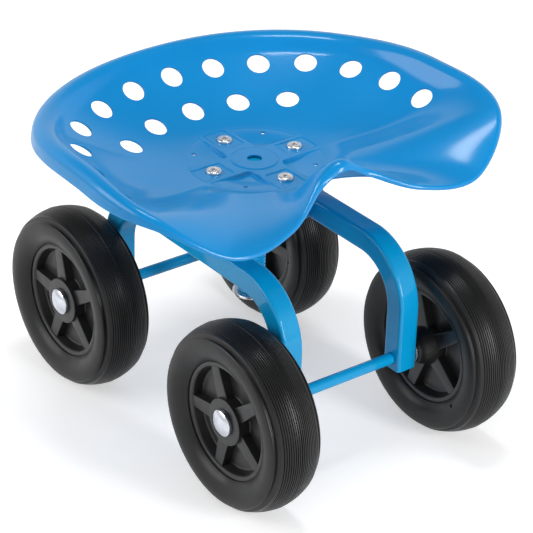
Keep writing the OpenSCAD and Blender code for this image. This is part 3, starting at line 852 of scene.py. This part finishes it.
def pan_height(x, y):
    """Height of the pan's upper face over its flat middle, inside the rolled edge."""
    r = np.hypot(x, y)
    f = np.abs(np.degrees(np.arctan2(y, x)))
    start, end, low, high, low_slope, high_slope = [
        np.interp(f, fine, t) for t in (join_reach, top_reach, join_rise, top_rise, join_slope, fold_slope)]
    bowl = np.where(r < start, wall_height((r - disc_radius) / np.interp(f, fine, wall_span), f),
                    hermite((r - start) / (end - start), end - start, low, high, low_slope, high_slope))
    near = np.radians(np.minimum(f % 90, 90 - f % 90))
    along, across = r * np.cos(near), r * np.sin(near)
    inside = ease((disc_radius - r) / stamp_edge)
    floor = 1 - sector_fade * ease((r - fade_start) / fade_run)
    depth_x = along - cross_half - sector_corner
    depth_y = across - cross_half - sector_corner
    within = sector_corner - np.hypot(np.minimum(depth_x, 0), np.minimum(depth_y, 0))
    stamped = (middle_height * ease((middle_radius - r) / small_edge)
               - sector_depth * floor * ease(within / stamp_edge) * inside
               - pad_depth * ease((pad_half - across) / small_edge)
               * ease((along - pad_start) / small_edge) * inside)
    return np.where(r < disc_radius, stamped, bowl)


def pan_normal(x, y, gap=0.15):
    """Direction straight out of the pan's upper face."""
    dx = (pan_height(x + gap, y) - pan_height(x - gap, y)) / (2 * gap)
    dy = (pan_height(x, y + gap) - pan_height(x, y - gap)) / (2 * gap)
    out = np.stack([-dx, -dy, np.ones_like(dx)], axis=-1)
    return out / np.linalg.norm(out, axis=-1, keepdims=True)


def pan_ray(angle):
    """The upper face from the middle hole to the turned-down edge, as (reach, rise)."""
    f = abs(angle if angle <= 180 else angle - 360)
    a = math.radians(angle)
    pick = [np.interp(f, fine, t) for t in (reach_at, rise_at, slope_at, roll_at, drop_at, top_reach)]
    reach, rise, slope, roll, drop, start = pick
    inner = np.concatenate([np.linspace(middle_hole, stamp_start, 18, endpoint=False),
                            np.linspace(stamp_start, disc_radius, 36, endpoint=False)])
    outer = disc_radius + (start - disc_radius) * np.linspace(0, 1, 36, endpoint=False)
    r = np.concatenate([inner, outer])
    ray = list(zip(r, pan_height(r * math.cos(a), r * math.sin(a))))
    end = math.radians(roll_end)
    for k in range(13):
        g = slope + (end - slope) * k / 12
        ray.append((reach - roll * math.sin(g), rise - roll * (1 - math.cos(g))))
    last = ray[-1]
    fall = last[1] - rise + drop - sheet / 2
    for k in range(1, 5):
        ray.append((last[0] + fall * k / 4 / math.tan(-end), last[1] - fall * k / 4))
    return np.array(ray)


def pan_section(angle):
    """The sheet's whole section: upper face, rounded lower edge, underside."""
    top = pan_ray(angle)
    ahead = np.gradient(top, axis=0)
    ahead /= np.linalg.norm(ahead, axis=1)[:, None]
    down = np.stack([ahead[:, 1], -ahead[:, 0]], axis=1)
    below = top + down * sheet
    middle = (top[-1] + below[-1]) / 2
    turn = np.linspace(0, math.pi, 7)[1:-1]
    edge = [middle - down[-1] * sheet / 2 * math.cos(t) + ahead[-1] * sheet / 2 * math.sin(t) for t in turn]
    return np.concatenate([top, edge, below[::-1]])


rows = []
for k in range(pan_steps):
    angle = k * 360 / pan_steps
    a = math.radians(angle)
    rows.append([(r * math.cos(a), r * math.sin(a), seat_height + z) for r, z in pan_section(angle)])
pan_mesh = grid_mesh("pan", rows)

hole_places = []
for a, reach in zip(hole_angles, hole_reaches):
    for side in ((1,) if abs(a) == 180 else (1, -1)):
        hole_places.append((side * a, reach))


def hole_frame(angle, reach):
    """Middle of a punched hole and its directions: round the rim, up the bowl, and outwards."""
    a = math.radians(angle)
    out = np.array([math.cos(a), math.sin(a)])
    spots = [out * reach, out * (reach + 1)]
    rises_here = [float(pan_height(*p)) for p in spots]
    ahead = np.array([*(spots[1] - spots[0]), rises_here[1] - rises_here[0]])
    ahead /= np.linalg.norm(ahead)
    across = np.array([-out[1], out[0], 0])
    return np.array([*spots[0], seat_height + rises_here[0]]), ahead, across, np.cross(ahead, across)


def lip_mesh(middle, ahead, across, out, radius):
    """The rounded edge of a punched hole, set into the sheet."""
    rows = []
    for t in np.linspace(0, 2 * math.pi, 96, endpoint=False):
        aside = math.cos(t) * ahead + math.sin(t) * across

        def upper(d):
            h = 0.0
            for _ in range(8):
                p = middle + d * aside + h * out
                h -= (p[2] - seat_height - float(pan_height(p[0], p[1]))) * out[2]
            return h

        high = upper(radius)
        wide = upper(radius + hole_lip)
        tuck = radius + hole_lip + lip_tuck
        line = softened([(tuck, high - lip_sink, 0), (radius + hole_lip, wide, 0),
                         (radius, high, hole_lip * 0.95), (radius, high - sheet, hole_lip * 0.95),
                         (radius + hole_lip, wide - sheet, 0), (tuck, high - sheet + lip_sink, 0)], 4)
        rows.append([middle + d * aside + h * out for d, h in line])
    return grid_mesh("lip", rows, crease=50)


def punch(radius, steps):
    """An upright round tool that passes through the sheet."""
    return spun("tool", [(0, -punch_half), (radius, -punch_half),
                         (radius, punch_half), (0, punch_half)], steps)


tools, lips = [], []
for angle, reach in hole_places:
    middle, ahead, across, out = hole_frame(angle, reach)
    spot = Matrix.Identity(4)
    for i in range(3):
        spot[i][0], spot[i][1], spot[i][2], spot[i][3] = ahead[i], across[i], out[i], middle[i] * mm
    tools.append(moved(punch(bowl_hole + hole_lip, 96), spot))
    lips.append(lip_mesh(middle, ahead, across, out, bowl_hole))
for reach, radius, first in ((small_hole_reach, small_hole, 45), (bolt_reach, bolt_hole, 0)):
    for q in range(4):
        a = math.radians(first + 90 * q)
        spot = Vector((reach * math.cos(a), reach * math.sin(a), seat_height)) * mm
        tools.append(moved(punch(radius, 48), Matrix.Translation(spot)))
pan_mesh = cut_away(pan_mesh, joined("tools", tools))

# the bowl's true directions go on the mesh, so that the gloss runs evenly past the holes;
# a corner takes them if it lies on the face, faces much the same way and is inside the fold
face_gap = 0.3
same_way = 0.8
fold_margin = 1.0
count = len(pan_mesh.loops)
loop_point = np.empty(count, int)
pan_mesh.loops.foreach_get("vertex_index", loop_point)
points = np.empty(len(pan_mesh.vertices) * 3)
pan_mesh.vertices.foreach_get("co", points)
points = points.reshape(-1, 3)[loop_point] / mm
face_size = np.empty(len(pan_mesh.polygons), int)
pan_mesh.polygons.foreach_get("loop_total", face_size)
face_out = np.empty(len(pan_mesh.polygons) * 3)
pan_mesh.polygons.foreach_get("normal", face_out)
face_out = np.repeat(face_out.reshape(-1, 3), face_size, axis=0)
true_out = pan_normal(points[:, 0], points[:, 1])
facing = (true_out * face_out).sum(axis=1)
edge_reach = np.interp(np.abs(np.degrees(np.arctan2(points[:, 1], points[:, 0]))), fine, top_reach)
inside = np.hypot(points[:, 0], points[:, 1]) < edge_reach - fold_margin
over = points[:, 2] - seat_height - pan_height(points[:, 0], points[:, 1])
normals = np.zeros((count, 3))
upper_side = inside & (facing > same_way) & (np.abs(over) < face_gap)
under_side = inside & (facing < -same_way) & (np.hypot(points[:, 0], points[:, 1]) > disc_radius)
normals[upper_side] = true_out[upper_side]
normals[under_side] = -true_out[under_side]
pan_mesh.normals_split_custom_set(normals.tolist())
seat_coat = blue_paint("seat_coat", (0.0003, 0.217, 0.53), (0.0006, 0.232, 0.565), 0.5, 0.15)
fitted("seat_pan_sheet", pan_mesh, seat_coat, "seat", ["seat_pan"], at_screw)
fitted("seat_hole_edges", joined("seat_hole_edges", lips, 50), seat_coat, "seat",
       place=at_screw)


# ------------------------------------------------- seat plate and its bolts
# A flat steel cross on the screw's head carries the pan. Four zinc pan-head
# screws with cross recesses go down through the pads, and washers and nuts
# hold them under the plate.
bolt_radius = 4.0
pad_top = 288.7
head_radius = 8.6
head_height = 5.0
head_edge = 1.6
head_lap = 1.2
nut_foot = 273.5
nut_flats = 13.0
nut_height = 6.4
bolt_foot = 271.7
recess_half = 4.4
recess_depth = 2.6

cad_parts["seat_plate"].material_slots[0].material = frame_coat
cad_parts["bolt_washers"].material_slots[0].material = zinc_plate


def recess_tool(turn):
    """One arm of the cross recess, narrower at its foot."""
    top = pad_top + head_height - head_lap
    rows = []
    for z, length, width in ((top + 1, recess_half + 0.4, 0.95),
                             (top - recess_depth, recess_half * 0.45, 0.6)):
        rows.append([(length, width, z), (-length, width, z), (-length, -width, z), (length, -width, z)])
    rows = [[(0, 0, top + 1)] * 4] + rows + [[(0, 0, top - recess_depth)] * 4]
    made = grid_mesh("recess", rows, round_rows=False)
    made.transform(Matrix.Translation((bolt_reach * mm, 0, 0)) @ Matrix.Rotation(math.radians(turn), 4, "Z"))
    return made


crown = head_height - head_edge - head_lap
crown_foot = pad_top + head_edge
line = [(0, bolt_foot), (bolt_radius - 0.6, bolt_foot), (bolt_radius, bolt_foot + 0.6),
        (bolt_radius, pad_top), (head_radius - 0.3, pad_top), (head_radius, pad_top + 0.3)]
for i in range(13):
    a = math.pi / 2 * i / 12
    line.append((head_radius - crown * (1 - math.cos(a)) * 1.15, crown_foot + crown * math.sin(a) * 0.94))
line.append((0, crown_foot + crown))
screw = spun("screw", line, 72)
screw.transform(Matrix.Translation((bolt_reach * mm, 0, 0)))
screw = cut_away(screw, recess_tool(20), recess_tool(110))
nut = hexagon_part("nut", nut_flats, nut_height, bolt_radius + clearance)
nut.transform(Matrix.Translation(Vector((bolt_reach, 0, nut_foot)) * mm))
quarter = [Matrix.Rotation(math.pi / 2 * q, 4, "Z") for q in range(4)]
fitted("seat_screws", joined("seat_screws", [moved(screw, q) for q in quarter], 30), zinc_plate, "seat",
       ["seat_bolts"], at_screw)
fitted("seat_nuts", joined("seat_nuts", [moved(nut, q) for q in quarter], 25), zinc_plate, "seat",
       ["bolt_nuts"], at_screw)


# ------------------------------------------------------- floor and backdrop
# A plain pale studio floor. It shows white to the camera and in polished
# metal, and keeps the soft shadow under the wheels.
floor_reach = 9
floor_glow = 0.43
room_light = 0.40
low_sky = 0.44
high_sky = 0.66
overhead_light = 0.2

floor_mesh = bpy.data.meshes.new("floor")
floor_corners = [(x * floor_reach, y * floor_reach, 0) for x, y in ((-1, -1), (1, -1), (1, 1), (-1, 1))]
floor_mesh.from_pydata(floor_corners, [], [(0, 1, 2, 3)])
floor = bpy.data.objects.new("floor", floor_mesh)
bpy.context.scene.collection.objects.link(floor)


def seen_directly(tree):
    """1 where the camera, a reflection or a view through something looks at the surface."""
    rays = tree.nodes.new("ShaderNodeLightPath")
    total = rays.outputs["Is Camera Ray"]
    for name in ("Is Glossy Ray", "Is Transmission Ray"):
        add = tree.nodes.new("ShaderNodeMath")
        add.operation = "ADD"
        add.use_clamp = True
        tree.links.new(total, add.inputs[0])
        tree.links.new(rays.outputs[name], add.inputs[1])
        total = add.outputs[0]
    return total


floor_paint, tree, shader, where = new_finish("floor_paint", (3, 2, (0.80, 0.80, 0.80), (0.83, 0.83, 0.83)))
shader.inputs["Roughness"].default_value = 0.9
shader.inputs["Specular IOR Level"].default_value = 0.0
shader.inputs["Emission Color"].default_value = (1, 1, 1, 1)
glow = tree.nodes.new("ShaderNodeMath")
glow.operation = "MULTIPLY"
glow.inputs[1].default_value = floor_glow
tree.links.new(seen_directly(tree), glow.inputs[0])
tree.links.new(glow.outputs[0], shader.inputs["Emission Strength"])
floor_mesh.materials.append(floor_paint)

world = bpy.data.worlds.new("studio")
bpy.context.scene.world = world
world.use_nodes = True
tree = world.node_tree
air = tree.nodes["Background"]
air.inputs["Color"].default_value = (1.0, 1.0, 1.0, 1)
level = tree.nodes.new("ShaderNodeMapRange")
level.inputs["To Min"].default_value = room_light
tree.links.new(seen_directly(tree), level.inputs["Value"])
# the backdrop is white from the floor to well over the seat, and dim overhead
toward = tree.nodes.new("ShaderNodeTexCoord")
split = tree.nodes.new("ShaderNodeSeparateXYZ")
tree.links.new(toward.outputs["Generated"], split.inputs["Vector"])
fade = tree.nodes.new("ShaderNodeMapRange")
for name, value in (("From Min", low_sky), ("From Max", high_sky), ("To Min", 1.0),
                    ("To Max", overhead_light)):
    fade.inputs[name].default_value = value
tree.links.new(split.outputs["Z"], fade.inputs["Value"])
tree.links.new(fade.outputs["Result"], level.inputs["To Max"])
tree.links.new(level.outputs["Result"], air.inputs["Strength"])


# ------------------------------------------------------------------ lamps
# Three soft boxes, as in a product studio: a narrow one overhead, a tall
# one before the seat and a large one on the camera's left.
for name, spot, aim, size, power in (
        ("overhead", (-0.1, 0.1, 2.3), (0, 0, 0.2), (0.9, 0.35), 17),
        ("front_side", (2.1, 0.45, 0.75), (0, 0, 0.15), (0.4, 1.1), 33),
        ("left_side", (-0.9, -1.9, 1.2), (0, 0, 0.15), (1.8, 1.1), 26)):
    data = bpy.data.lights.new(name, "AREA")
    data.shape = "RECTANGLE"
    data.size, data.size_y = size
    data.energy = power
    lamp = bpy.data.objects.new(name, data)
    bpy.context.scene.collection.objects.link(lamp)
    lamp.location = spot
    lamp.rotation_euler = (Vector(aim) - Vector(spot)).to_track_quat("-Z", "Y").to_euler()
view = bpy.context.scene.view_settings
view.view_transform = "Standard"


# ----------------------------------------------------------------- camera
# A long lens well away from the seat, at its front right corner and above
# it, as in the photograph.
camera_spot = (1.83007, -1.42656, 1.45592)
camera_yaw = 2.47569
camera_pitch = -0.507695
camera_roll = 0.031066
camera_lens = 166.357
ahead = Vector((math.cos(camera_pitch) * math.cos(camera_yaw), math.cos(camera_pitch) * math.sin(camera_yaw),
                math.sin(camera_pitch)))
right = Vector((math.sin(camera_yaw), -math.cos(camera_yaw), 0))
up = right.cross(ahead)
leaned = right * math.cos(camera_roll) + up * math.sin(camera_roll)
raised = up * math.cos(camera_roll) - right * math.sin(camera_roll)
data = bpy.data.cameras.new("camera")
data.lens = camera_lens
data.sensor_width = 36
data.clip_end = 50
camera = bpy.data.objects.new("camera", data)
bpy.context.scene.collection.objects.link(camera)
place = Matrix.Identity(4)
for i in range(3):
    place[i][0], place[i][1], place[i][2], place[i][3] = leaned[i], raised[i], -ahead[i], camera_spot[i]
camera.matrix_world = place
bpy.context.scene.camera = camera
